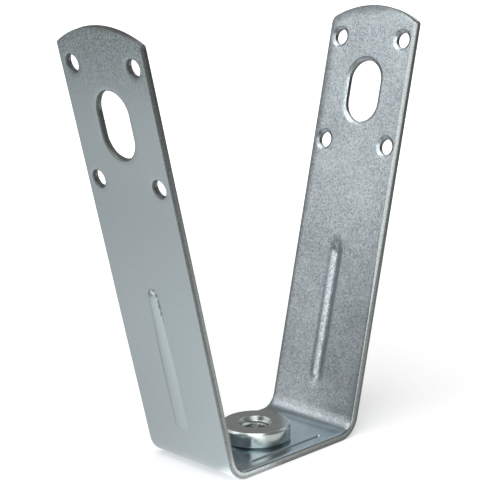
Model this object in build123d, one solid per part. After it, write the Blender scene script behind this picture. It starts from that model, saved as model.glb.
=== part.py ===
from build123d import *
import math
import os

# Trapezoidal deck hanger: a strap folded from one piece of steel sheet, with a round
# threaded nut pressed into its base. The legs lean outwards, to lie along a deck rib.
#
# Frame: millimetres, +Z up. The origin is on the underside of the base, on the axis of
# the thread. X runs from leg to leg and Y across the strap, with the front at -Y.

# Strap, its height taken to the top of the outer face
strap_width = 30.0
sheet_thickness = 2.0
hanger_height = 113.8
base_flat_length = 35.4
bend_inner_radius = 4.7
leg_lean = 13.5
crown_radius = 30.0
corner_radius = 1.0
worn_corner_radius = 2.4
edge_roll_radius = 0.3

# Holes and slot of each leg, set out from the middle of its crowned end
hole_diameter = 4.3
hole_edge_distance = 4.0
hole_row_pitch = 29.0
top_row_distance = 9.2
slot_length = 17.0
slot_width = 11.2
slot_roll_radius = 0.8
hole_dish_width = 0.9
hole_dish_depth = 0.4
outer_edge_break = 0.3

# Stiffening bead up each leg, pressed outwards: a groove on the inner face and a ridge behind it
leg_bead_start = 5.9
leg_bead_length = 40.0
leg_groove_width = 6.0
leg_groove_bottom = 0.4
leg_groove_depth = 1.0
leg_groove_shoulder = 1.5
leg_ridge_width = 5.2
leg_ridge_crest = 0.8
leg_ridge_height = 0.9
leg_ridge_roll = 1.2

# Bead along each side of the base, coined in its top and not pressed through
base_bead_edge_distance = 3.7
base_bead_length = 26.2
base_groove_width = 1.3
base_groove_bottom = 0.3
base_groove_depth = 0.4

# Press nut with an M8 thread, given by its bore at the thread's crests
nut_diameter = 19.0
nut_head_height = 4.5
nut_top_chamfer = 0.55
nut_bottom_chamfer = 0.75
thread_bore_diameter = 6.65
nut_mouth_diameter = 9.2
rod_entry_diameter = 8.4
collar_diameter = 12.0
collar_clearance = 0.05
swage_width = 0.5

# What follows from the sizes
LEFT = -1
RIGHT = 1
NEAR = 1e-4
lean = math.radians(leg_lean)
bend_outer_radius = bend_inner_radius + sheet_thickness
bend_end_x = base_flat_length / 2 + bend_outer_radius * math.cos(lean)
bend_end_z = bend_outer_radius * (1 - math.sin(lean))
leg_length = (hanger_height - bend_end_z) / math.cos(lean)
hole_column_pitch = strap_width - 2 * hole_edge_distance
crown_rise = crown_radius - math.sqrt(crown_radius**2 - (strap_width / 2) ** 2)
through_cut = 2 * sheet_thickness
rows_middle = Pos(0, leg_length - top_row_distance - hole_row_pitch / 2)
hole_places = GridLocations(hole_column_pitch, hole_row_pitch, 2, 2)


def leg_plane(side):
    """A leg's outer face: x across the strap, y up the leg from the bend, z outwards."""
    return Plane(
        origin=(side * bend_end_x, 0, bend_end_z),
        x_dir=(0, side, 0),
        z_dir=(side * math.cos(lean), 0, -math.sin(lean)),
    )


def outer_fold_line():
    """The strap's outer face seen from the front, from leg tip to leg tip."""
    turn = 90 - leg_lean
    half_base = base_flat_length / 2
    left_bend = CenterArc((-half_base, bend_outer_radius), bend_outer_radius, 270 - turn, turn)
    right_bend = CenterArc((half_base, bend_outer_radius), bend_outer_radius, 270, turn)
    left_leg = Line(left_bend @ 0 - leg_length * (left_bend % 0), left_bend @ 0)
    right_leg = Line(right_bend @ 1, right_bend @ 1 + leg_length * (right_bend % 1))
    return Wire([left_leg, left_bend, Line(left_bend @ 1, right_bend @ 0), right_bend, right_leg])


def folded_sheet():
    """The strap folded, with square ends and nothing punched or pressed in it yet."""
    section = make_face(offset(outer_fold_line(), sheet_thickness, side=Side.LEFT))
    return extrude(Plane.XZ * section, strap_width / 2, both=True)


def leg_openings():
    """The four holes and the slot of a leg, seen on its outer face."""
    holes = Sketch() + hole_places * Circle(hole_diameter / 2)
    return rows_middle * holes, rows_middle * SlotOverall(slot_length, slot_width, rotation=90)


def crown_offcut():
    """What is cut off above the crowned end of a leg, seen on its outer face."""
    end = Rectangle(2 * strap_width, 2 * crown_rise) - Pos(0, -crown_radius) * Circle(crown_radius)
    return Pos(0, leg_length) * end


def base_hole():
    """The collar's hole through the base, opened out below for its swaged lip."""
    radius = collar_diameter / 2 + collar_clearance
    lip = radius + swage_width
    bore = Pos(0, 0, sheet_thickness / 2) * Cylinder(radius, sheet_thickness)
    flare = Pos(0, 0, swage_width / 2) * Cone(lip, radius, swage_width)
    return bore + flare


def skin(depth):
    """The strap's face at a depth below its outer face, as a bare surface."""
    line = outer_fold_line()
    if depth > 0:
        line = offset(line, depth, side=Side.LEFT, closed=False)
    front = Plane.XZ.offset(strap_width / 2) * Wire(line.edges())
    return Shell.extrude(front, Vector(0, strap_width, 0))


def touches(edge, shape):
    """True for an edge that lies on the shape at its ends and its middle."""
    return all(shape.distance_to(edge @ place) < NEAR for place in (0, 0.5, 1))


def rims(strap, face, tool):
    """The edges that a tool has left on one face of the sheet."""
    return [edge for edge in strap.edges() if touches(edge, face) and touches(edge, tool)]


def bead_form(length, width, nose, height):
    """The form that presses a bead, along y and rising along z, with flat flanks and round ends."""
    foot = SlotOverall(length, width, rotation=90)
    top = SlotOverall(length - width + nose, nose, rotation=90)
    return loft([foot, Pos(0, 0, height) * top], ruled=True)


def cut_ends(strap):
    """Crowns both ends and rounds their corners, one of them worn down on the real strap."""
    for side in (LEFT, RIGHT):
        leg = leg_plane(side)
        strap -= extrude(leg * crown_offcut(), through_cut, both=True)
        for across in (LEFT, RIGHT):
            worn = side == RIGHT and across == RIGHT
            tip = leg.from_local_coords(Vector(across * strap_width / 2, leg_length - crown_rise, 0))
            corner = strap.edges().filter_by(Axis((0, 0, 0), leg.z_dir)).sort_by_distance(tip)[0]
            strap = fillet(corner, worn_corner_radius if worn else corner_radius)
    return strap


def roll_outline(strap, inner):
    """Rounds the outline of the inner face, as the blanking tool does, but no bend line."""
    outline = strap.edges().filter_by(Axis.Y, reverse=True)
    return fillet([edge for edge in outline if touches(edge, inner)], edge_roll_radius)


def hole_dishes(side):
    """The shallow dish round each hole of a leg, sunk in its inner face."""
    reach = hole_diameter / 2
    dish = Cone(reach + hole_dish_width, reach, hole_dish_depth)
    middle = leg_plane(side) * rows_middle * Pos(0, 0, hole_dish_depth / 2 - sheet_thickness)
    return [middle * place * dish for place in hole_places]


def punch_leg(strap, side, inner, outer):
    """Punches a leg's openings. Inside, the holes are dished and the slot's rim is rolled."""
    holes, slot = leg_openings()
    for opening in (holes, slot):
        punch = extrude(leg_plane(side) * opening, through_cut, both=True)
        strap -= punch
        if opening is slot:
            strap = fillet(rims(strap, inner, punch), slot_roll_radius)
        strap = chamfer(rims(strap, outer, punch), outer_edge_break)
    return strap - hole_dishes(side)


def press_leg_bead(strap, side, inner):
    """Presses a leg's bead outwards, with rounded shoulders inside and a rolled crest outside."""
    middle = leg_plane(side) * Pos(0, leg_bead_start + leg_bead_length / 2)
    crested = bead_form(leg_bead_length, leg_ridge_width, leg_ridge_crest, leg_ridge_height)
    ridge = middle * fillet(crested.edges().group_by(Axis.Z)[-1], leg_ridge_roll)
    sunk = bead_form(leg_bead_length, leg_groove_width, leg_groove_bottom, leg_groove_depth)
    groove = middle * Pos(0, 0, -sheet_thickness) * sunk
    return fillet(rims(strap + ridge - groove, inner, groove), leg_groove_shoulder)


def coin_base_bead(strap, side):
    """Sinks the groove of a bead beside the nut into the base's top."""
    middle = Pos(0, side * (strap_width / 2 - base_bead_edge_distance), sheet_thickness)
    sunk = bead_form(base_bead_length, base_groove_width, base_groove_bottom, base_groove_depth)
    return strap - middle * Rotation(180, 0, 90) * sunk


def folded_strap():
    """The whole strap: cut, rolled, punched, pressed and bored."""
    inner = skin(sheet_thickness)
    outer = skin(0)
    strap = roll_outline(cut_ends(folded_sheet()), inner)
    for side in (LEFT, RIGHT):
        strap = punch_leg(strap, side, inner, outer)
        strap = press_leg_bead(strap, side, inner)
        strap = coin_base_bead(strap, side)
    return strap - base_hole()


def press_nut():
    """The nut turned about the thread's axis: head, collar and the lip swaged below."""
    head = nut_diameter / 2
    top = sheet_thickness + nut_head_height
    collar = collar_diameter / 2
    bore = thread_bore_diameter / 2
    mouth = nut_mouth_diameter / 2
    entry = rod_entry_diameter / 2
    outline = Polyline(
        (bore, entry - bore),
        (entry, 0),
        (collar + swage_width, 0),
        (collar, swage_width),
        (collar, sheet_thickness),
        (head - nut_bottom_chamfer, sheet_thickness),
        (head, sheet_thickness + nut_bottom_chamfer),
        (head, top - nut_top_chamfer),
        (head - nut_top_chamfer, top),
        (mouth, top),
        (bore, top - (mouth - bore)),
        close=True,
    )
    return revolve(Plane.XZ * make_face(outline), Axis.Z)


os.makedirs("parts", exist_ok=True)
export_step(folded_strap(), "parts/folded_strap.step")
export_step(press_nut(), "parts/press_nut.step")
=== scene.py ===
import math

import bmesh
import bpy
import numpy as np
from bpy.props import FloatProperty, FloatVectorProperty, IntProperty, PointerProperty
from mathutils import Matrix, Vector, noise
from mathutils.geometry import delaunay_2d_cdt


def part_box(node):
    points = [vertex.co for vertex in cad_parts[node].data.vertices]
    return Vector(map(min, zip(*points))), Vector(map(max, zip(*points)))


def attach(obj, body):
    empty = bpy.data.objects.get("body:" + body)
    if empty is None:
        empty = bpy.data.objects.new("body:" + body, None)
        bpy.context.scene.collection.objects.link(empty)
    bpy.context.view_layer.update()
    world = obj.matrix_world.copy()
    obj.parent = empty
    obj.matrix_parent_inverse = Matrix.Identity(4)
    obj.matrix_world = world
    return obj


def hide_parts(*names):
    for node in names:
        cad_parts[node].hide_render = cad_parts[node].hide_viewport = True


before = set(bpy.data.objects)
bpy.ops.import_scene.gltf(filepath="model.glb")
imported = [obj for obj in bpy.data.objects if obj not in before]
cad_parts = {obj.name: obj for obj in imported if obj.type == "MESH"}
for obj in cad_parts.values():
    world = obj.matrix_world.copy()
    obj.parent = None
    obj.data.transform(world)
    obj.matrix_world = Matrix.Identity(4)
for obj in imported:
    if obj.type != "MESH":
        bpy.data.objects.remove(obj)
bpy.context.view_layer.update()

bl_info = {
    "name": "Deck Hanger",
    "version": (1, 0, 0),
    "blender": (4, 5, 0),
    "location": "3D View > Sidebar > Hanger",
    "description": "Dresses the trapezoidal deck hanger: folded zinc-plated strap, press nut and stage",
    "category": "Object",
}

NUT_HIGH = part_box("press_nut")[1]
STRAP_LOW, STRAP_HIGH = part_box("folded_strap")

# Kinds of face on the strap, in the order of its materials
OUTER, INNER, CUT = 0, 1, 2

# Distances between points of the meshes, in metres
FACE_STEP = 0.001
BEND_STEPS = (0.0005, 0.0012)
OUTLINE_STEP = 0.0005
RIM_STEP = 0.0003
COLLAR_STEP = 0.0004
BEAD_STEP = 0.00025
FINEST_STEP = 0.00015
NUT_STEP = 0.0008
RINGS_BESIDE = (0.0002, 0.0005, 0.0009, 0.0014, 0.0019)
RINGS_REACH = 0.0021
CLEARANCE = 0.0003

# How far points stray from an even grid, as a share of its step, and the seed for it
JITTER = 0.08
JITTER_SEED = 11

# Triangles are left out beyond a length, within a distance of an opening's rim, and below an area
LONGEST_TRIANGLE = 0.003
NEAR_RIM = 0.00001
SLIVER = 1e-11

# The triangulation works in millimetres
MM = 1000.0
SAME_PLACE_MM = 1e-5

# Sections of the punched edges: rows of faces, and the power that makes a roll flatter than round
BREAK_ROWS = 3
WALL_ROWS = 5
ROLL_ROWS = 7
ROLL_FLATNESS = 1.5
CONE_FLATNESS = 2.0

# Angles in degrees beyond which an edge is shown sharp
STRAP_CREASE = 40
NUT_CREASE = 32

# The legs' slow wave and the ragged scar: waves in a metre, along and across, and the length of the fade
WANDER_WAVES = (45, 60)
WANDER_FADE = 0.025
SCAR_WAVES = (1700, 1700)
SCAR_FADE = 0.007

# How many times a corner of the nut has its softening
SHARP, SOFT, SOFTER = 0.0, 1.0, 1.6

# Steps of the bore in one turn of the thread, and the flank's ends on the way from crest to root
STEPS_IN_PITCH = 20
CREST_ENDS, ROOT_STARTS = 0.22, 0.86

# Changes of the colour along or across the strip, painted light and shade among them: from one place to
# another, in metres, and both levels
ENDS_DULL = (0.116, 0.138, 0.0, 1.0)
# Painted shade at the bends and low on the legs' outer face, and painted light towards their ends
BEND_PAINTED_SHADE = (0.025, 0.070, 0.87, 0.98)
END_PAINTED_LIGHT = (0.090, 0.115, 1.0, 1.15)
# The inner face is darker low down on the legs, more so towards the front
LOWER_LEG = (0.055, 0.085, 1.0, 0.0)
FRONT_HALF = (-0.014, 0.006, 1.0, 0.0)
CROWN_NARROWS = (-0.014, 0.0, 4.0, 1.0)
BACK_NARROWS = (0.055, 0.10, 2.0, 1.0)
PRESS_EDGE = (-0.0002, 0.0002, 1.0, 0.0)
# Painted shade along the line where the pressed face ends in the bends
PRESS_CREASE = (0.0, 0.0003, 1.0, 0.0)
CUT_BEND_DARKER = (0.02, 0.06, 0.78, 1.0)
CUT_FRONT_LIGHTER = (-0.0135, -0.009, 1.0, 0.7)

# The studio that the metal sees: each light's direction, and the degrees within which it is full and seen
STUDIO = {
    "left_wall": ((-0.72, 0.55, 0.55), 10, 50),
    "front_wall": ((-0.72, -0.68, 0.12), 25, 55),
    "ceiling": ((-0.25, -0.23, 0.94), 6, 22),
    "right_wall": ((0.78, 0.12, 0.62), 10, 28),
    "skylight": ((-0.46, 0.18, 0.86), 15, 33),
}
FLOOR_PATCH = ((-0.7, -0.7, 0.0), 5, 30)

# The lamps' places and widths and what they aim at, and half the floor's width, in metres
LAMPS = {
    "overhead": ((-0.25, -0.1, 0.75), 0.7),
    "front": ((-0.65, -0.45, 0.35), 0.35),
}
LAMP_TARGET = (0, 0, 0.05)
FLOOR_HALF = 3

# The camera's sensor in millimetres, and how near and far it sees in metres
SENSOR_WIDTH = 36.0
CLIP = (0.01, 20.0)


def length(name, default, description):
    return FloatProperty(
        name=name, description=description, default=default, min=0.0, unit="LENGTH", precision=5
    )


def angle(name, degrees, description):
    return FloatProperty(
        name=name, description=description, default=math.radians(degrees), subtype="ANGLE"
    )


def colour(name, default, description):
    return FloatVectorProperty(
        name=name, description=description, default=default, size=3, min=0.0, max=1.0, subtype="COLOR"
    )


def number(name, default, description):
    return FloatProperty(name=name, description=description, default=default, min=0.0)


class StrapSizes(bpy.types.PropertyGroup):
    """The strap, as a strip before it is folded, and where its folds lie."""

    width: length("Width", STRAP_HIGH.y - STRAP_LOW.y, "Width of the strip")
    thickness: length("Thickness", 0.002, "Thickness of the sheet")
    height: length("Height", 0.1138, "Height to the top of the outer face")
    base_flat: length("Flat of base", 0.0354, "Length of the base between its bends")
    bend_radius: length("Bend radius", 0.0047, "Radius inside the bends")
    lean: angle("Lean", 13.5, "How far a leg leans outwards")
    crown_radius: length("Crown radius", 0.030, "Radius of a leg's crowned end")
    corner_radius: length("Corner radius", 0.001, "Radius of the corners beside a crown")
    worn_corner: length("Worn corner", 0.0024, "Radius of the one corner that is worn down")
    edge_roll: length("Edge roll", 0.00085, "Width of the right leg's rounded front edge")
    edge_roll_depth: length("Edge roll's depth", 0.0011, "Depth of that rounding, from the inner face")
    edge_roll_from: length("Edge roll's start", 0.055, "Where up the right leg the rounding starts")
    edge_roll_growth: length("Edge roll's growth", 0.020, "Length over which the rounding grows")
    edge_roll_fade: length("Edge roll's fade", 0.004, "Length over which it fades along the crown")
    edge_burr: length("Edge burr", 0.0003, "Rounding of the rest of the outline, on the inner face")
    edge_break: length("Edge break", 0.00012, "Rounding of the outline on the outer face")
    hole_radius: length("Hole radius", 0.00215, "Radius of the round holes")
    hole_edge: length("Hole to edge", 0.004, "Distance of the holes from the strap's edge")
    rows: length("Hole rows", 0.029, "Distance of the holes along a leg")
    top_row: length("Top row", 0.0092, "Distance of the top holes from the crown's top")
    slot_length: length("Slot length", 0.017, "Length of the slot")
    slot_width: length("Slot width", 0.0112, "Width of the slot")
    dish_width: length("Dish width", 0.0008, "How wide the right leg's holes are dished on the inner face")
    dish_depth: length("Dish depth", 0.0005, "How deep those holes are dished")
    slot_roll: length("Slot roll", 0.0011, "Width of the right slot's rolled rim on the inner face")
    slot_roll_depth: length("Slot roll's depth", 0.0005, "Depth of that rolled rim")
    left_rim: length("Left rims", 0.0004, "Rounding of the left leg's openings on the inner face")
    rim_break: length("Rim break", 0.0003, "Rounding of the openings on the outer face")
    rim_sink: length("Rim sink", 0.0001, "How far both faces sink beside an opening")
    rim_sink_width: length("Rim sink width", 0.0008, "How far from an opening the faces sink")
    collar_radius: length("Collar hole", 0.00605, "Radius of the hole for the nut's collar")
    swage: length("Flare", 0.0005, "Width of the flare below that hole")
    wander: length("Wander", 0.00003, "How far the legs stray from a true plane")


class BeadSizes(bpy.types.PropertyGroup):
    """The beads: pressed outwards up the legs, and coined in the base's top."""

    leg_start: length("Start on leg", 0.0059, "Distance of a leg's bead from the bend")
    leg_length: length("Length on leg", 0.040, "Length of a leg's bead")
    leg_offset: length("Off centre", 0.00045, "How far off the centre line the leg beads are struck")
    groove_foot: length("Groove's mouth", 0.0020, "Half the width of a leg's groove at its mouth")
    groove_nose: length("Groove's bottom", 0.0002, "Half the width of a leg's groove at its bottom")
    groove_depth: length("Groove's depth", 0.0013, "Depth of a leg's groove")
    groove_draw: number("Groove's ends", 1.6, "How far its ends are drawn out, for round ones")
    groove_shoulder: length("Groove's shoulder", 0.0012, "How far the groove's shoulder is rounded")
    ridge_foot: length("Ridge's foot", 0.0024, "Half the width of a leg's ridge at its foot")
    ridge_pinch: number("Ridge's taper", 0.5, "How much narrower the ridge gets towards its upper end")
    ridge_nose: length("Ridge's crest", 0.0009, "Half the width of a leg's rounded crest")
    ridge_height: length("Ridge's height", 0.0009, "Height of a leg's ridge")
    base_edge: length("From base's edge", 0.0037, "Distance of a base bead from the strap's edge")
    base_length: length("Length on base", 0.0262, "Length of a base bead")
    base_foot: length("Base groove's mouth", 0.0006, "Half the width of a base groove at its mouth")
    base_nose: length("Base groove's bottom", 0.0002, "Half the width of a base groove at its bottom")
    base_depth: length("Base groove's depth", 0.0006, "Depth of a base groove")
    scar: length("Scar", 0.00012, "Depth of the torn scar beside the left ridge's upper end")
    scar_width: length("Scar's width", 0.0003, "Width of that scar")
    scar_length: length("Scar's length", 0.0115, "How far down the ridge it runs")


class NutSizes(bpy.types.PropertyGroup):
    """The turned press nut and the thread cut in it."""

    head: length("Head radius", NUT_HIGH.x, "Radius of the nut's head")
    top_chamfer: length("Top chamfer", 0.00055, "Chamfer round the top")
    foot_chamfer: length("Foot chamfer", 0.00075, "Chamfer round the foot of the head")
    collar: length("Collar radius", 0.006, "Radius of the collar in the strap")
    swage: length("Lip", 0.0005, "Width of the lip pressed over below")
    minor: length("Thread minor radius", 0.003325, "Radius at the thread's crests")
    major: length("Thread major radius", 0.004, "Radius at the thread's roots")
    pitch: length("Thread pitch", 0.00125, "Rise of the thread in one turn")
    mouth: length("Mouth radius", 0.0046, "Radius of the countersunk mouth above")
    mouth_flare: angle("Mouth flare", 30.0, "Slope of the countersink from the axis")
    entry: length("Entry radius", 0.0042, "Radius of the chamfered mouth below")
    softening: length("Softening", 0.00008, "Rounding of the turned corners")
    turns: IntProperty(name="Facets", description="Facets round the nut", default=144, min=24, max=512)


class FinishSettings(bpy.types.PropertyGroup):
    """Colours and wear of the zinc-plated steel, and shade painted into them."""

    outer: colour("Outer face", (0.51, 0.585, 0.605), "Smooth outer face")
    outer_dull: colour("Outer face, dull", (0.435, 0.505, 0.515), "The same towards the ends of the legs")
    inner: colour("Inner face", (0.64, 0.70, 0.73), "Mottled inner face")
    inner_speckle: colour("Inner face, speckle", (0.27, 0.31, 0.335), "Fine dark speckle of the inner face")
    pressed: colour("Pressed face", (0.43, 0.505, 0.545), "Pressed smooth on the base and in the bends")
    pressed_reach: length("Pressed reach", 0.0220, "Distance from the middle at which the smooth face ends")
    # Makes the inner face darker low down on the legs, more so towards the front
    low_front_darkening: number("Darkening", 0.10, "How much duller the lower part of the inner face is")
    # Painted shade in the base's grooves: full below the first depth, none above the second
    groove_shade_full: length("Shaded below", 0.0015, "Depth in the sheet at which the base's grooves are darkest")
    groove_shade_none: length("Unshaded above", 0.0019, "Depth in the sheet at which they are unshaded")
    cut: colour("Cut edge", (0.36, 0.39, 0.385), "Sheared edge of the sheet")
    cut_torn: colour("Cut edge, torn", (0.27, 0.295, 0.29), "Torn band of the sheared edge")
    nut: colour("Nut", (0.50, 0.54, 0.525), "Turned and plated nut")
    nut_residue: colour("Nut, recesses", (0.20, 0.20, 0.195), "Residue in the nut's thread and tool marks")
    # Painted shade along the legs' crowns and back edges, standing in for the shade of an edge rolled away
    # from the light
    painted_edge_shade: number("Edges, dulling", 0.55, "How much duller the crowns and back edges are")
    painted_edge_shade_reach: length("Edges, reach", 0.0035, "How far from those edges the dulling reaches")
    grain: number("Grains", 2400.0, "Grains of the speckle in a metre")
    seed: IntProperty(name="Seed", description="Picks the pattern of the wear", default=7)


class StageSettings(bpy.types.PropertyGroup):
    """Camera, lamps and surroundings."""

    azimuth: angle("Azimuth", 44.311, "Turn of the camera to the left")
    elevation: angle("Elevation", 12.665, "Rise of the camera")
    roll: angle("Roll", -0.794, "Tilt of the camera")
    distance: length("Distance", 0.356487, "Distance of the camera from its target")
    target_left: length("Target left", 0.003475, "How far left of the axis the camera aims")
    target_up: length("Target height", 0.056307, "How high the camera aims")
    lens: number("Lens", 103.119, "Focal length in millimetres")
    floor_colour: colour("Floor", (0.80, 0.80, 0.80), "Colour of the floor")
    daylight: number("World light", 0.5, "Strength of the world's light")
    room: number("Room", 0.28, "How bright the room looks in the metal")
    left_wall: number("Left wall", 0.75, "How much brighter the room is to the left")
    right_wall: number("Right wall", 1.2, "How much brighter the room is high on the right")
    front_wall: number("Front wall", 1.6, "How much brighter the room is behind the camera")
    skylight: number("Skylight", 1.3, "How much brighter the room is high on the left")
    ceiling: number("Ceiling", 3.0, "How much brighter the room is overhead")
    floor_level: number("Floor level", 0.77, "How bright the floor near the object looks in the metal")
    floor_fade: length("Floor fade", 0.40, "Distance at which the floor looks half as bright in the metal")
    floor_front: number("Floor before", 0.35, "How much brighter the floor before the object is")
    floor_window: number("Floor's patch", 1.5, "How much brighter a patch of floor towards the camera is")
    floor_patch: length("Floor patch's reach", 0.09, "How far that patch reaches from the object's middle")
    overhead: number("Overhead lamp", 3.2, "Power of the large lamp above, in watts")
    front: number("Front lamp", 1.2, "Power of the lamp beside the camera, in watts")


# The strip before it is folded


def arc(centre, radius, start, stop, step):
    """Points of an arc, each with the direction that lies to the left of the way round it."""
    count = max(4, math.ceil(abs(stop - start) * radius / step))
    turn = np.linspace(start, stop, count + 1)
    ray = np.stack([np.cos(turn), np.sin(turn)], 1)
    return np.hstack([np.array(centre) + radius * ray, -ray if stop > start else ray])


def straight(start, stop, step):
    """Points between the ends of two arcs, without the ends themselves."""
    count = max(2, math.ceil(np.linalg.norm(stop[:2] - start[:2]) / step))
    return start + (stop - start) * (np.arange(1, count) / count)[:, None]


def joined(right, left, step):
    """A ring made of two arcs and the straight lines between them."""
    return np.concatenate([
        right,
        straight(right[-1], left[0], step),
        left,
        straight(left[-1], right[0], step),
    ])


def from_capsule(along, across, capsule):
    """Distance from the rim of a hole or slot, negative inside it."""
    centre_along, centre_across, reach, radius = capsule
    nearest = np.clip(along - centre_along, -reach, reach)
    return np.hypot(along - centre_along - nearest, across - centre_across) - radius


def capsule_rim(capsule, step):
    """The rim of a hole or slot, clockwise, so that the sheet lies on its left."""
    centre_along, centre_across, reach, radius = capsule
    right = arc((centre_along + reach, centre_across), radius, math.pi / 2, -math.pi / 2, step)
    left = arc((centre_along - reach, centre_across), radius, -math.pi / 2, -1.5 * math.pi, step)
    return joined(right, left, step) if reach else np.concatenate([right[:-1], left[:-1]])


def ramp(reach, softness):
    """Nothing before zero and the reach itself after it, with the corner rounded."""
    return np.where(reach > softness, reach, np.clip(reach + softness, 0, None) ** 2 / (4 * softness))


def ripple(along, across, waves, height):
    """Smooth noise over the flat strip, with so many waves in a metre, cut at a height."""
    places = zip(along * waves[0], across * waves[1])
    return np.array([noise.noise((a, c, height)) for a, c in places])


class Form:
    """A bead's form along the strip, with flat flanks. It may be drawn out and may narrow up a leg."""

    def __init__(self, centre, whole_length, foot, nose, height, soft_foot, soft_nose, draw=1.0, pinch=0.0):
        self.centre, self.foot, self.nose, self.reach = centre, foot, nose, whole_length / 2
        self.soft_foot, self.soft_nose = soft_foot, soft_nose
        self.slope = height / (foot - nose)
        self.draw, self.pinch = draw, pinch
        self.axis = (*centre, self.reach - foot * draw, 0.0)

    def drawn(self, along, factor):
        """Places along the strip, with what lies beyond the ends of the axis drawn out by a factor."""
        from_middle = along - self.centre[0]
        beyond = np.maximum(np.abs(from_middle) - self.axis[2], 0)
        return along + np.sign(from_middle) * beyond * (factor - 1)

    def narrowing(self, along):
        """How many times narrower the bead is at a place along the strip than at its wide end."""
        share = (np.abs(along) - abs(self.centre[0])) / self.reach
        return 1 + self.pinch * np.clip(share, 0, 1)

    def away(self, along, across):
        widened = self.centre[1] + (across - self.centre[1]) * self.narrowing(along)
        return from_capsule(self.drawn(along, 1 / self.draw), widened, self.axis)

    def height(self, along, across):
        away = self.away(along, across)
        whole = ramp(self.foot - away, self.soft_foot) - ramp(self.nose - away, self.soft_nose)
        return self.slope * whole

    def rings(self):
        """Distances from the axis at which the form's mesh has its points."""
        edge = self.foot + self.soft_foot
        step = min(self.foot / 9, BEAD_STEP)
        inside = np.arange(step / 2, edge, step)
        corner = self.foot + np.array([-1, 0, 1]) * max(self.soft_foot / 2, step / 5)
        inside = inside[np.abs(inside[:, None] - corner).min(1) > step / 6]
        return np.sort(np.concatenate([inside, corner, [edge + step, edge + 2.5 * step]]))


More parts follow.
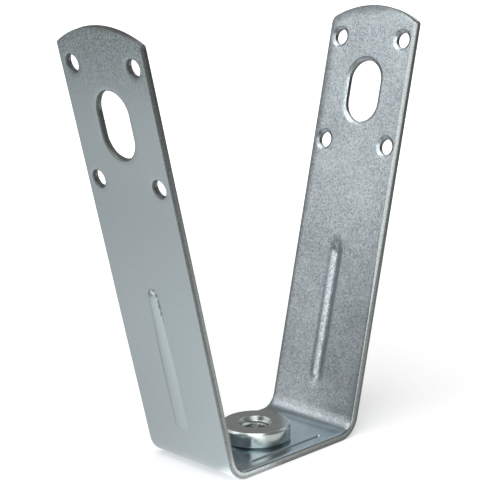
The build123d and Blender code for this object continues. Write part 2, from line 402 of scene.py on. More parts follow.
class Strip:
    """The flat strip, measured along from the middle of the base and across from its centre line."""

    def __init__(self, sizes, beads):
        self.s = s = sizes
        self.half = s.width / 2
        self.outer_radius = s.bend_radius + s.thickness
        self.turn = math.pi / 2 - s.lean
        self.leg_from = s.base_flat / 2 + self.outer_radius * self.turn
        leg_length = (s.height - self.outer_radius * (1 - math.sin(s.lean))) / math.cos(s.lean)
        self.tip = self.leg_from + leg_length
        middle = self.tip - s.top_row - s.rows / 2
        slot_reach = (s.slot_length - s.slot_width) / 2
        self.openings, self.rims = [], []
        self.ridges, self.grooves = [], []
        self.scar, self.scar_width, self.scar_length = beads.scar, beads.scar_width, beads.scar_length
        for side in (-1, 1):
            self.openings.append((side * middle, 0.0, slot_reach, s.slot_width / 2))
            left = (s.left_rim, s.left_rim, ROLL_FLATNESS)
            self.rims.append((s.slot_roll, s.slot_roll_depth, ROLL_FLATNESS) if side > 0 else left)
            for row in (-1, 1):
                for column in (-1, 1):
                    place = (side * (middle + row * s.rows / 2), column * (self.half - s.hole_edge))
                    self.openings.append((*place, 0.0, s.hole_radius))
                    self.rims.append((s.dish_width, s.dish_depth, CONE_FLATNESS) if side > 0 else left)
            on_leg = (side * (self.leg_from + beads.leg_start + beads.leg_length / 2), beads.leg_offset)
            self.grooves.append(Form(
                on_leg, beads.leg_length, beads.groove_foot, beads.groove_nose, beads.groove_depth,
                beads.groove_shoulder, beads.groove_nose / 2, beads.groove_draw,
            ))
            self.ridges.append(Form(
                on_leg, beads.leg_length, beads.ridge_foot, beads.ridge_nose, beads.ridge_height,
                beads.ridge_foot / 40, beads.ridge_nose, pinch=beads.ridge_pinch,
            ))
            softness = beads.base_nose / 3
            self.grooves.append(Form(
                (0.0, side * (self.half - beads.base_edge)), beads.base_length,
                beads.base_foot, beads.base_nose, beads.base_depth, softness, softness,
            ))
        self.collar = (0.0, 0.0, 0.0, s.collar_radius)

    def fold(self, along, across, depth):
        """Where points of the strip lie once it is folded. Depth counts from the outer face."""
        reach = np.abs(along)
        flat = self.s.base_flat / 2
        bent = np.clip((reach - flat) / self.outer_radius, 0, self.turn)
        up_leg = np.clip(reach - self.leg_from, 0, None)
        radius = self.outer_radius - depth
        x = np.minimum(reach, flat) + radius * np.sin(bent) + up_leg * math.cos(self.turn)
        z = self.outer_radius - radius * np.cos(bent) + up_leg * math.sin(self.turn)
        return np.stack([np.sign(along) * x, across, z], 1)

    def crowned_end(self, first, second, step):
        """A leg's end from its first corner to its second, each with its radius."""
        crown = self.tip - self.s.crown_radius
        corners = []
        for radius in (first, second):
            reach = math.sqrt((self.s.crown_radius - radius) ** 2 - (self.half - radius) ** 2)
            corners.append((crown + reach, math.atan2(self.half - radius, reach)))
        (first_at, first_turn), (second_at, second_turn) = corners
        return np.concatenate([
            arc((first_at, first - self.half), first, -math.pi / 2, -first_turn, step / 3),
            arc((crown, 0.0), self.s.crown_radius, -first_turn, second_turn, step)[1:-1],
            arc((second_at, self.half - second), second, second_turn, math.pi / 2, step / 3),
        ])

    def outline(self, step):
        right = self.crowned_end(self.s.corner_radius, self.s.worn_corner, step)
        left = -self.crowned_end(self.s.corner_radius, self.s.corner_radius, step)
        return joined(right, left, step)

    def rim_sink(self, along, across):
        """How far both faces sink beside the openings of the legs."""
        away = np.full(along.shape, 1.0)
        for opening in self.openings:
            away = np.minimum(away, from_capsule(along, across, opening))
        return self.s.rim_sink * np.exp(-((np.clip(away, 0, None) / self.s.rim_sink_width) ** 2))

    def wander(self, along, across):
        """A slow wave of the legs, shared by both faces."""
        on_leg = np.clip((np.abs(along) - self.leg_from) / WANDER_FADE, 0, 1)
        return self.s.wander * on_leg * ripple(along, across, WANDER_WAVES, 3.1)

    def outer_depth(self, along, across):
        pressed = sum(ridge.height(along, across) for ridge in self.ridges)
        return self.rim_sink(along, across) + self.scar * self.scarred(along, across) - pressed

    def inner_depth(self, along, across):
        pressed = sum(groove.height(along, across) for groove in self.grooves)
        return self.s.thickness - self.rim_sink(along, across) - pressed

    def scarred(self, along, across):
        """The ragged scar at the foot of the left ridge, round its upper end."""
        ridge = self.ridges[0]
        away = ridge.away(along, across) - ridge.foot
        band = np.exp(-((away / self.scar_width) ** 2))
        up = np.clip((ridge.centre[0] - along - ridge.reach + self.scar_length) / SCAR_FADE, 0, 1)
        front = np.clip(0.55 - (across - ridge.centre[1]) * 420, 0.1, 1)
        chips = ripple(along, across, SCAR_WAVES, 1.7)
        return band * up**1.5 * front * np.clip(0.75 + 1.7 * chips, 0.1, 1.3)


# Meshes


def mesh_object(name, places, faces):
    mesh = bpy.data.meshes.new(name)
    mesh.from_pydata([tuple(p) for p in places], [], faces)
    mesh.validate()
    thing = bpy.data.objects.new(name, mesh)
    bpy.context.scene.collection.objects.link(thing)
    return thing


def face_outwards(mesh):
    work = bmesh.new()
    work.from_mesh(mesh)
    bmesh.ops.recalc_face_normals(work, faces=work.faces)
    work.to_mesh(mesh)
    work.free()


def smooth_but_for(mesh, degrees):
    mesh.polygons.foreach_set("use_smooth", np.ones(len(mesh.polygons), bool))
    mesh.set_sharp_from_angle(angle=math.radians(degrees))
    mesh.update()


def rolled_profile(thickness, break_radius, roll_width, roll_depth, flatness=ROLL_FLATNESS):
    """The section of a punched edge, from the outer face to the inner one: insets and depths."""
    rows = []
    for k in range(BREAK_ROWS + 1):
        turn = math.pi / 2 * k / BREAK_ROWS
        rows.append((break_radius * (1 - math.sin(turn)), break_radius * (1 - math.cos(turn))))
    wall = np.linspace(break_radius, thickness - roll_depth, WALL_ROWS + 1)
    rows += [(0.0, depth) for depth in wall[1:-1]]
    for k in range(ROLL_ROWS + 1):
        turn = math.pi / 2 * k / ROLL_ROWS
        across, down = math.cos(turn) ** flatness, math.sin(turn) ** flatness
        rows.append((roll_width * (1 - across), thickness - roll_depth * (1 - down)))
    return rows


def face_places(strip, inset, hollows, forms):
    """Places inside the strip's faces: a plain grid, finer on the beads, and rings round openings."""
    rng = np.random.default_rng(JITTER_SEED)

    def grid(low, high, step_along, step_across):
        a = np.arange(low[0], high[0], step_along)
        c = np.arange(low[1], high[1], step_across)
        a = a + (high[0] - step_along - a[-1]) / 2 + step_along / 2
        c = c + (high[1] - step_across - c[-1]) / 2 + step_across / 2
        found = np.stack(np.meshgrid(a, c), -1).reshape(-1, 2)
        return found + rng.uniform(-JITTER, JITTER, found.shape) * (step_along, step_across)

    flat_end, leg_from = strip.s.base_flat / 2, strip.leg_from
    rest = grid((-strip.tip, -strip.half), (strip.tip, strip.half), FACE_STEP, FACE_STEP)
    rest = rest[(np.abs(rest[:, 0]) < flat_end) | (np.abs(rest[:, 0]) > leg_from)]
    for low, high in ((flat_end, leg_from), (-leg_from, -flat_end)):
        bend = grid((low, -strip.half), (high, strip.half), *BEND_STEPS)
        rest = np.concatenate([rest, bend])
    rings = []
    for form in forms:
        away = form.rings()
        rest = rest[form.away(rest[:, 0], rest[:, 1]) > away[-1] + CLEARANCE]
        spacing = max(form.foot / 8, FINEST_STEP)
        for ring in away:
            rim = capsule_rim((*form.axis[:3], ring), spacing)
            along = form.drawn(rim[:, 0], form.draw)
            across = form.centre[1] + (rim[:, 1] - form.centre[1]) / form.narrowing(along)
            rings.append(np.column_stack([along, across]))
        reach = np.arange(-form.axis[2], form.axis[2], spacing)
        rings.append(np.stack([form.centre[0] + reach, np.full(len(reach), form.centre[1])], 1))
    for opening in hollows:
        wide = (*opening[:3], opening[3] + RINGS_REACH)
        rest = rest[from_capsule(rest[:, 0], rest[:, 1], wide) > 0]
        for away in RINGS_BESIDE:
            wider = (*opening[:3], opening[3] + away)
            rings.append(capsule_rim(wider, RIM_STEP + away / 3)[:, :2])
    rings = np.concatenate(rings)
    found = np.concatenate([rest, rings])
    from_edge = strip.half - inset - np.abs(found[:, 1])
    crown = strip.tip - strip.s.crown_radius
    from_crown = strip.s.crown_radius - inset - np.hypot(np.abs(found[:, 0]) - crown, found[:, 1])
    below_crown = np.abs(found[:, 0]) < crown
    return found[(from_edge > CLEARANCE) & ((from_crown > CLEARANCE) | below_crown)]


def turned_area(rings):
    """Twice the area of each ring of places, positive if it runs anticlockwise."""
    after = np.roll(rings, -1, axis=1)
    return (rings[..., 0] * after[..., 1] - rings[..., 1] * after[..., 0]).sum(1)


def triangulate(loops, places, hollow):
    """Triangles over the places and inside the loops, apart from those inside a hollow."""
    every = np.concatenate([*loops, places])
    edges, start = [], 0
    for loop in loops:
        count = len(loop)
        edges += [(start + k, start + (k + 1) % count) for k in range(count)]
        start += count
    points = [Vector(p) for p in (every * MM).tolist()]
    made = delaunay_2d_cdt(points, edges, [], 0, SAME_PLACE_MM)
    origin = [found[0] for found in made[3]]
    if len(origin) != len(every):
        raise RuntimeError("the face's outline crosses itself or two of its places coincide")
    triangles = np.array([[origin[v] for v in face] for face in made[2]])
    corners = every[triangles]
    centre = corners.mean(1)
    ahead, aside = (corners[:, 1:] - corners[:, :1]).transpose(1, 0, 2)
    doubled_area = np.abs(ahead[:, 0] * aside[:, 1] - ahead[:, 1] * aside[:, 0])
    keep = (np.ptp(corners, axis=1).max(1) < LONGEST_TRIANGLE) & (doubled_area > SLIVER)
    outline = loops[0]
    on_outline = (triangles < len(outline)).all(1)
    ordered = every[np.sort(triangles, axis=1)]
    inside = np.sign(turned_area(ordered)) == np.sign(turned_area(outline[None]))
    keep &= inside | ~on_outline
    for opening in hollow:
        keep &= from_capsule(centre[:, 0], centre[:, 1], opening) > NEAR_RIM
    return triangles[keep]


def punched_rims(strip):
    """The strip's rims with their sections, and how many of a section's last rows are plated face."""
    s = strip.s
    outline = strip.outline(OUTLINE_STEP)
    burred, rolled = (
        np.array(rolled_profile(s.thickness, s.edge_break, width, depth))[:, :, None]
        for width, depth in ((s.edge_burr, s.edge_burr), (s.edge_roll, s.edge_roll_depth))
    )
    up_leg = np.clip((outline[:, 0] - s.edge_roll_from) / s.edge_roll_growth, 0, 1)
    in_front = np.clip((-outline[:, 1] - s.width / 3) / s.edge_roll_fade, 0, 1)
    found = [(outline, burred + (rolled - burred) * up_leg * in_front, 0)]
    for opening, (width, depth, flatness) in zip(strip.openings, strip.rims):
        section = rolled_profile(s.thickness, s.rim_break, width, depth, flatness)
        found.append((capsule_rim(opening, RIM_STEP), section, ROLL_ROWS))
    flared = [(s.swage, 0.0), (0.0, s.swage), (0.0, s.thickness)]
    return found + [(capsule_rim(strip.collar, COLLAR_STEP), flared, 0)]


def strap_mesh(strip):
    """The folded strap as one closed mesh, with its place on the flat strip kept at each point."""
    s = strip.s
    flat, faces, kinds = [], [], []
    first_rows, last_rows = [], []
    total = 0
    for rim, section, plated in punched_rims(strip):
        count, last = len(rim), len(section) - 1
        for inset, depth in section:
            inset, depth = np.broadcast_to(inset, count), np.broadcast_to(depth, count)
            flat.append(np.column_stack([rim[:, :2] + rim[:, 2:] * inset[:, None], depth]))
        for row in range(last):
            kinds += [INNER if row >= last - plated else CUT] * count
            for k in range(count):
                a, b = total + row * count + k, total + row * count + (k + 1) % count
                faces.append((a, b, b + count, a + count))
        first_rows.append(total + np.arange(count))
        last_rows.append(total + last * count + np.arange(count))
        total += len(section) * count
    flat = np.concatenate(flat)
    breaks = [s.rim_break] * len(strip.openings)
    rolls = [rim[0] for rim in strip.rims]
    for kind, rows, insets, collar_inset, forms, edge, level in (
        (OUTER, first_rows, breaks, s.swage, strip.ridges, s.edge_break, 0.0),
        (INNER, last_rows, rolls, 0.0, strip.grooves, s.edge_roll, s.thickness),
    ):
        rims = [flat[row, :2] for row in rows]
        hollows = [(*opening[:3], opening[3] + inset) for opening, inset in zip(strip.openings, insets)]
        hollows.append((*strip.collar[:3], strip.collar[3] + collar_inset))
        places = face_places(strip, edge, hollows, forms)
        index = np.concatenate([*rows, total + np.arange(len(places))])
        chosen = index[triangulate(rims, places, hollows)]
        if kind == OUTER:
            chosen = chosen[:, ::-1]
        faces += [tuple(t) for t in chosen.tolist()]
        kinds += [kind] * len(chosen)
        flat = np.concatenate([flat, np.column_stack([places, np.full(len(places), level)])])
        total += len(places)

    along, across, depth = flat.T
    share = depth / s.thickness
    sunk = strip.outer_depth(along, across) * (1 - share)
    raised = (strip.inner_depth(along, across) - s.thickness) * share
    folded = strip.fold(along, across, depth + sunk + raised + strip.wander(along, across))
    strap = mesh_object("zinc_strap", folded, faces)
    face_outwards(strap.data)
    strap.data.polygons.foreach_set("material_index", np.array(kinds, np.int32))
    place = strap.data.attributes.new("sheet_place", "FLOAT_VECTOR", "POINT")
    place.data.foreach_set("vector", flat.astype(np.float32).ravel())
    scar = strap.data.attributes.new("scar", "FLOAT", "POINT")
    scar.data.foreach_set("value", (strip.scarred(along, across) * (1 - share)).astype(np.float32))
    smooth_but_for(strap.data, STRAP_CREASE)
    return strap


# Node trees


class Nodes:
    """A node tree under construction: its nodes, added and joined in few words."""

    def __init__(self, tree, output):
        self.tree = tree
        tree.nodes.clear()
        self.out = tree.nodes.new(output)

    def node(self, kind, inputs=(), **settings):
        made = self.tree.nodes.new(kind)
        for key, value in settings.items():
            setattr(made, key, value)
        for key, value in dict(inputs).items():
            if isinstance(value, bpy.types.NodeSocket):
                self.tree.links.new(value, made.inputs[key])
            else:
                made.inputs[key].default_value = value
        return made

    def maths(self, operation, a, b=0.0, clamp=False):
        return self.node("ShaderNodeMath", {0: a, 1: b}, operation=operation, use_clamp=clamp).outputs[0]

    def times(self, a, b):
        return self.maths("MULTIPLY", a, b)

    def minus(self, a, b):
        return self.maths("SUBTRACT", a, b)

    def total(self, first, *others):
        for other in others:
            first = self.maths("ADD", first, other)
        return first

    def parts(self, vector):
        return self.node("ShaderNodeSeparateXYZ", {0: vector}).outputs

    def place(self, x, y, z=0.0):
        return self.node("ShaderNodeCombineXYZ", {0: x, 1: y, 2: z}).outputs[0]

    def vector(self, operation, a, b=(0.0, 0.0, 0.0)):
        return self.node("ShaderNodeVectorMath", {0: a, 1: b}, operation=operation).outputs

    def span(self, value, low, high, to_low=0.0, to_high=1.0):
        """A smooth change between two values, from one level to another."""
        inputs = {"Value": value, "From Min": low, "From Max": high, "To Min": to_low, "To Max": to_high}
        return self.node("ShaderNodeMapRange", inputs, interpolation_type="SMOOTHSTEP").outputs[0]

    def noise(self, where, scale, seed, detail, rough, distortion=0.0):
        inputs = {"Vector": where, "W": seed, "Scale": scale, "Detail": detail}
        inputs |= {"Roughness": rough, "Distortion": distortion}
        return self.node("ShaderNodeTexNoise", inputs, noise_dimensions="4D").outputs["Fac"]

    def stretch(self, where, scale):
        return self.node("ShaderNodeMapping", {"Vector": where, "Scale": scale}).outputs[0]

    def facing(self, direction, toward, inner, outer):
        """One within the inner angle of a direction and nothing beyond the outer one."""
        aim = Vector(toward).normalized()
        dot = self.vector("DOT_PRODUCT", direction, aim)["Value"]
        return self.span(dot, math.cos(math.radians(outer)), math.cos(math.radians(inner)))

    def blend(self, share, first, second):
        node = self.node("ShaderNodeMix", {"Factor": share}, data_type="RGBA")
        for key, value in (("A_Color", first), ("B_Color", second)):
            socket = next(i for i in node.inputs if i.identifier == key)
            if isinstance(value, bpy.types.NodeSocket):
                self.tree.links.new(value, socket)
            else:
                socket.default_value = (*value, 1.0)
        return next(o for o in node.outputs if o.identifier == "Result_Color")

    def shade(self, colour, level):
        """A colour made lighter or darker by a level."""
        return self.node("ShaderNodeVectorMath", {0: colour, "Scale": level}, operation="SCALE").outputs[0]

    def attribute(self, name, output):
        made = self.node("ShaderNodeAttribute", attribute_name=name, attribute_type="GEOMETRY")
        return made.outputs[output]

    def finish(self, shader):
        self.tree.links.new(shader.outputs[0], self.out.inputs["Surface"])

    def metal(self, base, roughness, height, distance, strength):
        """Ends the tree with metal, bumpy by a height that is worth so many metres."""
        bump = self.node("ShaderNodeBump", {"Strength": strength, "Distance": distance, "Height": height})
        inputs = {"Base Color": base, "Metallic": 1.0, "Roughness": roughness, "Normal": bump.outputs[0]}
        self.finish(self.node("ShaderNodeBsdfPrincipled", inputs))


# The nut


def softened(corners, radius, steps=3):
    """A closed section with its corners rounded, each given as a place and a share of the radius."""
    found = []
    count = len(corners)
    for k, (x, z, amount) in enumerate(corners):
        here = np.array((x, z))
        if amount == SHARP:
            found.append(here)
            continue
        before = np.array(corners[k - 1][:2]) - here
        after = np.array(corners[(k + 1) % count][:2]) - here
        before /= np.linalg.norm(before)
        after /= np.linalg.norm(after)
        half = math.acos(np.clip(before @ after, -1, 1)) / 2
        reach = radius * amount / math.tan(half)
        centre = here + (before + after) / np.linalg.norm(before + after) * radius * amount / math.sin(half)
        start, stop = here + before * reach, here + after * reach
        for step in range(steps + 1):
            ray = (start - centre) * (1 - step / steps) + (stop - centre) * step / steps
            found.append(centre + ray / np.linalg.norm(ray) * radius * amount)
    return found


def nut_section(n, sheet, top):
    """The nut's section, softened outside and closely spaced along the bore, and which of it is bore."""
    corners = [
        (n.entry, 0.0, SOFT),
        (n.collar + n.swage, 0.0, SOFT),
        (n.collar, n.swage, SHARP),
        (n.collar, sheet, SHARP),
        (n.head - n.foot_chamfer, sheet, SOFT),
        (n.head, sheet + n.foot_chamfer, SOFTER),
        (n.head, top - n.top_chamfer, SOFTER),
        (n.head - n.top_chamfer, top, SOFTER),
        (n.mouth, top, SOFTER),
    ]
    sunk = top - (n.mouth - n.major) / math.tan(n.mouth_flare)
    bored = [
        (n.major, sunk, SHARP),
        (n.minor, sunk - n.major + n.minor, SHARP),
        (n.minor, n.entry - n.minor, SHARP),
    ]
    section = softened(corners + bored, n.softening)
    outside = section[:-len(bored)]
    rings = []
    for here, after in zip(outside, outside[1:] + outside[-1:]):
        distance = np.linalg.norm(after - here)
        count = math.ceil(distance / NUT_STEP) if distance > 1.5 * NUT_STEP else 1
        rings += [here + (after - here) * k / count for k in range(count)]
    bore = []
    way = [outside[-1], *section[-len(bored):], outside[0]]
    for start, stop in zip(way, way[1:]):
        count = max(2, math.ceil(np.linalg.norm(stop - start) / (n.pitch / STEPS_IN_PITCH)))
        bore += [start + (stop - start) * k / count for k in range(1, count + 1)]
    bore = bore[:-1]
    return rings + bore, [0.0] * len(rings) + [1.0] * len(bore)


def turned_mesh(name, section, count):
    """A closed section turned about the thread's axis."""
    turn = np.linspace(0, 2 * math.pi, count, endpoint=False)
    places = np.concatenate([
        np.stack([radius * np.cos(turn), radius * np.sin(turn), np.full(count, z)], 1)
        for radius, z in section
    ])
    faces = []
    for ring in range(len(section)):
        here, after = ring * count, (ring + 1) % len(section) * count
        for k in range(count):
            beside = (k + 1) % count
            faces.append((here + k, here + beside, after + beside, after + k))
    return mesh_object(name, places, faces)


def thread_cutter():
    """Geometry Nodes that cut a right-hand thread in whatever carries the attribute bore."""
    g = Nodes(bpy.data.node_groups.new("Cut thread", "GeometryNodeTree"), "NodeGroupOutput")
    for name, kind in (
        ("Geometry", "Geometry"), ("Minor radius", "Float"), ("Major radius", "Float"),
        ("Pitch", "Float"), ("Material", "Material"),
    ):
        g.tree.interface.new_socket(name, in_out="INPUT", socket_type="NodeSocket" + kind)
    g.tree.interface.new_socket("Geometry", in_out="OUTPUT", socket_type="NodeSocketGeometry")
    given = g.node("NodeGroupInput").outputs
    x, y, z = g.parts(g.node("GeometryNodeInputPosition").outputs[0])
    radius = g.maths("SQRT", g.total(g.times(x, x), g.times(y, y)))
    turned = g.maths("DIVIDE", g.maths("ARCTAN2", y, x), 2 * math.pi)
    phase = g.maths("FRACT", g.minus(g.maths("DIVIDE", z, given["Pitch"]), turned))
    from_crest = g.maths("ABSOLUTE", g.minus(g.times(phase, 2.0), 1.0))
    flank = {"Value": from_crest, "From Min": CREST_ENDS, "From Max": ROOT_STARTS}
    flank |= {"To Min": given["Minor radius"], "To Max": given["Major radius"]}
    cut = g.node("ShaderNodeMapRange", flank, interpolation_type="LINEAR").outputs[0]
    grow = g.maths("DIVIDE", g.maths("MAXIMUM", radius, cut), radius)
    bore = g.node("GeometryNodeInputNamedAttribute", {"Name": "bore"}, data_type="FLOAT").outputs[0]
    moved = g.node("GeometryNodeSetPosition", {
        "Geometry": given["Geometry"],
        "Selection": g.maths("GREATER_THAN", bore, 0.5),
        "Position": g.place(g.times(x, grow), g.times(y, grow), z),
    })
    real = g.node("GeometryNodeRealizeInstances", {"Geometry": moved.outputs[0]})
    finish = g.node("GeometryNodeSetMaterial", {"Geometry": real.outputs[0], "Material": given["Material"]})
    g.tree.links.new(finish.outputs[0], g.out.inputs[0])
    return g.tree


def run_tree(thing, tree, values):
    """Puts a tree on an object, sets its inputs by identifier and keeps the plain mesh it gives."""
    modifier = thing.modifiers.new(tree.name, "NODES")
    modifier.node_group = tree
    for socket in tree.interface.items_tree:
        if socket.in_out == "INPUT" and socket.name in values:
            modifier[socket.identifier] = values[socket.name]
    bpy.context.view_layer.update()
    evaluated = thing.evaluated_get(bpy.context.evaluated_depsgraph_get())
    made = bpy.data.meshes.new_from_object(evaluated)
    thing.modifiers.remove(modifier)
    old = thing.data
    thing.data = made
    bpy.data.meshes.remove(old)


# Materials


def new_material(name):
    """A material and its empty node tree, under construction."""
    made = bpy.data.materials.new(name)
    made.use_nodes = True
    return made, Nodes(made.node_tree, "ShaderNodeOutputMaterial")


def outer_zinc(f):
    """Smooth bright zinc, duller and faintly speckled towards the ends of the legs, with painted shade at
    the bends and low on the legs and painted light towards their ends.
    """
    material, s = new_material("Zinc, outer face")
    where = s.attribute("sheet_place", "Vector")
    reach = s.maths("ABSOLUTE", s.parts(where)[0])
    clouds = s.noise(where, 55, f.seed, detail=3, rough=0.5, distortion=0.4)
    cloudy = s.times(s.minus(clouds, 0.5), 0.28)
    dull = s.maths("ADD", s.span(reach, *ENDS_DULL), cloudy, clamp=True)
    speckle = s.noise(where, f.grain * 0.8, f.seed + 1, detail=3, rough=0.6, distortion=0.8)
    drawn_out = s.stretch(where, (0.15, 1.0, 1.0))
    rolled = s.noise(drawn_out, 600, f.seed + 2, detail=3, rough=0.6)
    fine = s.total(s.times(speckle, 0.85), s.times(rolled, 0.15))
    level = s.times(s.span(fine, 0.35, 0.65, -0.34, 0.34), s.total(dull, 0.08))
    base = s.shade(s.blend(dull, f.outer, f.outer_dull), s.total(level, 1.0))
    # Painted shade at the bends and low on the legs, and painted light towards their ends
    for change in (BEND_PAINTED_SHADE, END_PAINTED_LIGHT):
        base = s.shade(base, s.span(reach, *change))
    torn = s.span(s.attribute("scar", "Fac"), 0.15, 0.6)
    base = s.blend(torn, base, f.cut_torn)
    s.metal(base, s.span(dull, 0.0, 1.0, 0.30, 0.38), fine, distance=0.00002, strength=0.2)
    return material


def beside_edges(s, f, strip, reach, across):
    """Where the painted edge shade lies: one at a leg's crown and back edge and nothing further in. It thins
    out towards the front.
    """
    crown = strip.s.crown_radius
    past_centre = s.maths("MAXIMUM", s.total(reach, crown - strip.tip), 0.0)
    from_centre = s.vector("LENGTH", s.place(past_centre, across))["Value"]
    from_crown = s.times(s.minus(crown, from_centre), s.span(across, *CROWN_NARROWS))
    from_back = s.times(s.minus(strip.half, across), s.span(reach, *BACK_NARROWS))
    return s.span(s.maths("MINIMUM", from_crown, from_back), 0.0, f.painted_edge_shade_reach, 1.0, 0.0)


def inner_zinc(f, strip):
    """Mottled, wormy zinc, pressed smooth on the base and in the bends, and darker low down on the legs.
    Painted shade darkens the crowns and back edges, the base's grooves and the line where the pressed face
    ends.
    """
    material, s = new_material("Zinc, inner face")
    where = s.attribute("sheet_place", "Vector")
    x, y, z = s.parts(where)
    reach = s.maths("ABSOLUTE", x)
    clouds = s.noise(where, 60, f.seed + 3, detail=4, rough=0.6, distortion=0.6)
    cloudy = s.minus(clouds, 0.5)
    speckle = s.noise(where, f.grain, f.seed + 4, detail=2, rough=0.5, distortion=1.6)
    worms = s.noise(where, f.grain * 0.5, f.seed + 5, detail=3, rough=0.6, distortion=2.2)
    lifted = s.total(s.times(speckle, 0.5), s.times(worms, 0.5), s.times(cloudy, 0.2))
    from_press = s.total(reach, s.times(cloudy, 0.002), -f.pressed_reach)
    pressed = s.span(from_press, *PRESS_EDGE)
    unpressed = s.minus(1.0, pressed)
    # Painted shade along the line where the pressed face ends in the bends
    painted_crease_shade = s.span(s.maths("ABSOLUTE", from_press), *PRESS_CREASE)
    lower = s.span(reach, *LOWER_LEG)
    front = s.total(s.times(s.span(y, *FRONT_HALF), 2.0), 1.0)
    # Darker low down on the legs, more so towards the front
    low_front_darker = s.times(s.times(lower, front), f.low_front_darkening)
    # Painted shade at the crowns and back edges
    edges = s.times(beside_edges(s, f, strip, reach, y), f.painted_edge_shade)
    mottled = s.blend(s.span(lifted, 0.36, 0.62), f.inner_speckle, f.inner)
    for dimming in (low_front_darker, edges):
        mottled = s.shade(mottled, s.minus(1.0, dimming))
    # Painted shade in the base's grooves, darkest deepest down
    painted_groove_shade = s.span(z, f.groove_shade_full, f.groove_shade_none, 0.45, 1.0)
    smooth = s.shade(f.pressed, s.times(s.span(clouds, 0.3, 0.7, 0.94, 1.06), painted_groove_shade))
    base = s.shade(s.blend(pressed, mottled, smooth), s.minus(1.0, s.times(painted_crease_shade, 0.3)))
    speckled = s.times(s.span(lifted, 0.36, 0.62, 0.14, 0.02), unpressed)
    s.metal(base, s.total(speckled, 0.24), s.times(lifted, unpressed), distance=0.00004, strength=0.3)
    return material


def cut_zinc(f, thickness):
    """A sheared edge: torn beside the outer face, burnished over the rest, and lightest in front."""
    material, s = new_material("Zinc, cut edge")
    where = s.attribute("sheet_place", "Vector")
    along, across, depth = s.parts(where)
    reach = s.maths("ABSOLUTE", along)
    drawn_down = s.stretch(where, (1.0, 1.0, 0.6))
    scores = s.noise(drawn_down, 2200, f.seed + 6, detail=4, rough=0.7, distortion=0.4)
    waver = s.times(s.minus(scores, 0.5), 0.25)
    torn = s.span(s.total(s.maths("DIVIDE", depth, thickness), waver), 0.40, 0.50, 1.0, 0.0)
    base = s.shade(s.blend(torn, f.cut, f.cut_torn), s.span(scores, 0.3, 0.7, 0.75, 1.2))
    base = s.shade(base, s.span(reach, *CUT_BEND_DARKER))
    base = s.shade(base, s.span(across, *CUT_FRONT_LIGHTER))
    s.metal(base, s.span(torn, 0.0, 1.0, 0.22, 0.5), scores, distance=0.00003, strength=0.4)
    return material


def nut_steel(f, n):
    """Turned and plated steel, with fine tool rings and residue down the thread."""
    material, s = new_material("Zinc, turned nut")
    where = s.node("ShaderNodeTexCoord").outputs["Object"]
    x, y, z = s.parts(where)
    radius = s.vector("LENGTH", s.place(x, y))["Value"]
    rings = s.noise(s.place(radius, z), 5200, f.seed + 8, detail=2, rough=0.6)
    clouds = s.noise(where, 300, f.seed + 9, detail=4, rough=0.6, distortion=0.5)
    deep = s.span(radius, n.minor * 1.02, n.mouth * 1.03, 1.0, 0.0)
    grime = s.times(deep, s.span(clouds, 0.35, 0.6, 0.0, 0.5))
    mixed = s.total(s.times(rings, 0.5), s.times(clouds, 0.5))
    base = s.shade(s.blend(grime, f.nut, f.nut_residue), s.span(mixed, 0.3, 0.7, 0.95, 1.05))
    s.metal(base, s.span(clouds, 0.3, 0.7, 0.17, 0.25), rings, distance=0.000006, strength=0.25)
    return material


# Operators


class HANGER_OT_strap(bpy.types.Operator):
    """Makes the folded strap with its rolled edges, dished rims and pressed beads"""

    bl_idname = "hanger.strap"
    bl_label = "Folded Strap"

    def execute(self, context):
        given = context.scene
        strip = Strip(given.hanger_strap, given.hanger_beads)
        strap = strap_mesh(strip)
        finish = given.hanger_finish
        for material in (outer_zinc(finish), inner_zinc(finish, strip), cut_zinc(finish, strip.s.thickness)):
            strap.data.materials.append(material)
        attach(strap, "root")
        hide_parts("folded_strap")
        return {"FINISHED"}


class HANGER_OT_press_nut(bpy.types.Operator):
    """Turns the press nut and cuts its thread"""

    bl_idname = "hanger.press_nut"
    bl_label = "Press Nut"

    def execute(self, context):
        given = context.scene
        n = given.hanger_nut
        section, bored = nut_section(n, given.hanger_strap.thickness, NUT_HIGH.z)
        nut = turned_mesh("press_nut_turned", section, n.turns)
        bore = nut.data.attributes.new("bore", "FLOAT", "POINT")
        bore.data.foreach_set("value", np.repeat(bored, n.turns).astype(np.float32))
        steel = nut_steel(given.hanger_finish, n)
        sizes = {"Minor radius": n.minor, "Major radius": n.major, "Pitch": n.pitch, "Material": steel}
        run_tree(nut, thread_cutter(), sizes)
        face_outwards(nut.data)
        smooth_but_for(nut.data, NUT_CREASE)
        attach(nut, "root")
        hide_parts("press_nut")
        return {"FINISHED"}


class HANGER_OT_stage(bpy.types.Operator):
    """Sets the floor, the lamps, the surroundings and the camera"""

    bl_idname = "hanger.stage"
    bl_label = "Stage"

    def execute(self, context):
        given = context.scene.hanger_stage
        corners = [(x * FLOOR_HALF, y * FLOOR_HALF, 0) for x, y in ((-1, -1), (1, -1), (1, 1), (-1, 1))]
        floor = mesh_object("floor", corners, [(0, 1, 2, 3)])
        floor.data.materials.append(floor_paper(given))
        set_world(given)
        for name, (place, width) in LAMPS.items():
            area_lamp(name, place, width, getattr(given, name))
        set_camera(given)
        context.scene.view_settings.view_transform = "Standard"
        return {"FINISHED"}


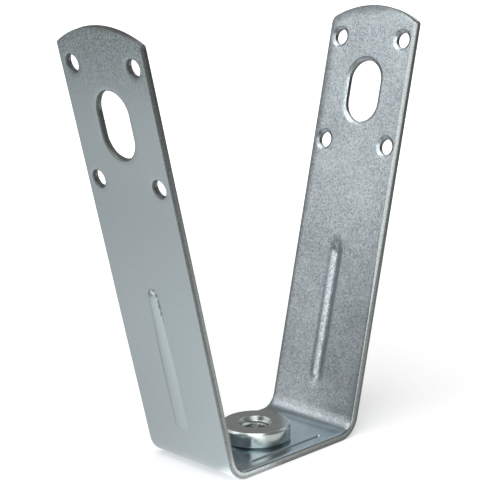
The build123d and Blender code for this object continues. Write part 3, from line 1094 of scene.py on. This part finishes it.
def floor_paper(given):
    """Paper, white to the camera but for the object's shadow. The metal sees it darker far off."""
    material, s = new_material("Pale floor")
    where = s.node("ShaderNodeTexCoord").outputs["Object"]
    away = s.vector("LENGTH", where)["Value"]
    toward = s.vector("NORMALIZE", where)[0]
    path = s.node("ShaderNodeLightPath").outputs
    falloff = s.maths("POWER", s.maths("DIVIDE", away, given.floor_fade), 2.0)
    fading = s.maths("DIVIDE", given.floor_level, s.total(falloff, 1.0))
    forward = s.times(s.vector("DOT_PRODUCT", toward, FLOOR_PATCH[0])["Value"], given.floor_front)
    patch = s.times(s.facing(toward, *FLOOR_PATCH), given.floor_window)
    near = s.span(away, given.floor_patch / 2, given.floor_patch, 1.0, 0.0)
    mirrored = s.times(fading, s.total(forward, s.times(patch, near), 1.0))
    seen = s.times(path["Is Camera Ray"], s.span(away, 0.08, 0.5, 0.35, 1.0))
    strength = s.total(seen, s.times(path["Is Glossy Ray"], mirrored))
    glow = s.node("ShaderNodeEmission", {"Color": (1, 1, 1, 1), "Strength": strength})
    paper, unlit = (
        s.node("ShaderNodeBsdfDiffuse", {"Color": (*tint, 1)}).outputs[0]
        for tint in (given.floor_colour, (0, 0, 0))
    )
    chosen = s.node("ShaderNodeMixShader", {0: path["Is Glossy Ray"], 1: paper, 2: unlit})
    s.finish(s.node("ShaderNodeAddShader", {0: chosen.outputs[0], 1: glow.outputs[0]}))
    return material


def set_world(given):
    """White to the camera. The metal sees a dim studio with soft lights before, beside and above it."""
    world = bpy.data.worlds.new("Studio")
    world.use_nodes = True
    bpy.context.scene.world = world
    s = Nodes(world.node_tree, "ShaderNodeOutputWorld")
    path = s.node("ShaderNodeLightPath").outputs
    where = s.node("ShaderNodeTexCoord").outputs["Generated"]
    lit = given.room
    for name, light in STUDIO.items():
        lit = s.total(s.times(s.facing(where, *light), getattr(given, name)), lit)
    glossy = path["Is Glossy Ray"]
    white = s.maths("MAXIMUM", path["Is Camera Ray"], path["Is Transmission Ray"])
    plain = s.minus(1.0, s.maths("MAXIMUM", white, glossy))
    strength = s.total(white, s.times(glossy, lit), s.times(plain, given.daylight))
    s.finish(s.node("ShaderNodeBackground", {"Color": (1, 1, 1, 1), "Strength": strength}))


def area_lamp(name, place, width, power):
    """A round lamp, aimed at the object, that the metal doesn't mirror."""
    data = bpy.data.lights.new(name, "AREA")
    data.shape, data.size, data.energy = "DISK", width, power
    lamp = bpy.data.objects.new(name, data)
    bpy.context.scene.collection.objects.link(lamp)
    lamp.location = place
    lamp.visible_glossy = False
    lamp.rotation_euler = (Vector(LAMP_TARGET) - Vector(place)).to_track_quat("-Z", "Y").to_euler()


def set_camera(given):
    """The camera that was worked out from the photograph's edges."""
    a, e, r = given.azimuth, given.elevation, given.roll
    back = Vector((-math.sin(a) * math.cos(e), -math.cos(a) * math.cos(e), math.sin(e)))
    right = Vector((math.cos(a), -math.sin(a), 0.0))
    up = back.cross(right)
    rolled_right = right * math.cos(r) + up * math.sin(r)
    rolled_up = up * math.cos(r) - right * math.sin(r)
    eye = right * -given.target_left + Vector((0, 0, given.target_up)) + back * given.distance
    data = bpy.data.cameras.new("camera")
    data.lens, data.sensor_width, data.sensor_fit = given.lens, SENSOR_WIDTH, "HORIZONTAL"
    data.clip_start, data.clip_end = CLIP
    camera = bpy.data.objects.new("camera", data)
    bpy.context.scene.collection.objects.link(camera)
    turn = Matrix((rolled_right, rolled_up, back)).transposed().to_4x4()
    camera.matrix_world = Matrix.Translation(eye) @ turn
    bpy.context.scene.camera = camera


class HANGER_PT_panel(bpy.types.Panel):
    """Sizes and finish of the deck hanger"""

    bl_idname = "HANGER_PT_panel"
    bl_label = "Deck Hanger"
    bl_space_type = "VIEW_3D"
    bl_region_type = "UI"
    bl_category = "Hanger"

    def draw(self, context):
        for name in GROUPS:
            box = self.layout.box()
            group = getattr(context.scene, name)
            for key in group.bl_rna.properties.keys():
                if key not in ("rna_type", "name"):
                    box.prop(group, key)
        for operator in OPERATORS:
            self.layout.operator(operator.bl_idname)


GROUPS = {
    "hanger_strap": StrapSizes,
    "hanger_beads": BeadSizes,
    "hanger_nut": NutSizes,
    "hanger_finish": FinishSettings,
    "hanger_stage": StageSettings,
}
OPERATORS = (HANGER_OT_strap, HANGER_OT_press_nut, HANGER_OT_stage)


def register():
    for cls in (*GROUPS.values(), *OPERATORS, HANGER_PT_panel):
        bpy.utils.register_class(cls)
    for name, group in GROUPS.items():
        setattr(bpy.types.Scene, name, PointerProperty(type=group))


def unregister():
    for name in GROUPS:
        delattr(bpy.types.Scene, name)
    for cls in reversed((*GROUPS.values(), *OPERATORS, HANGER_PT_panel)):
        bpy.utils.unregister_class(cls)


def main():
    register()
    bpy.ops.hanger.strap()
    bpy.ops.hanger.press_nut()
    bpy.ops.hanger.stage()


if __name__ == "__main__":
    main()
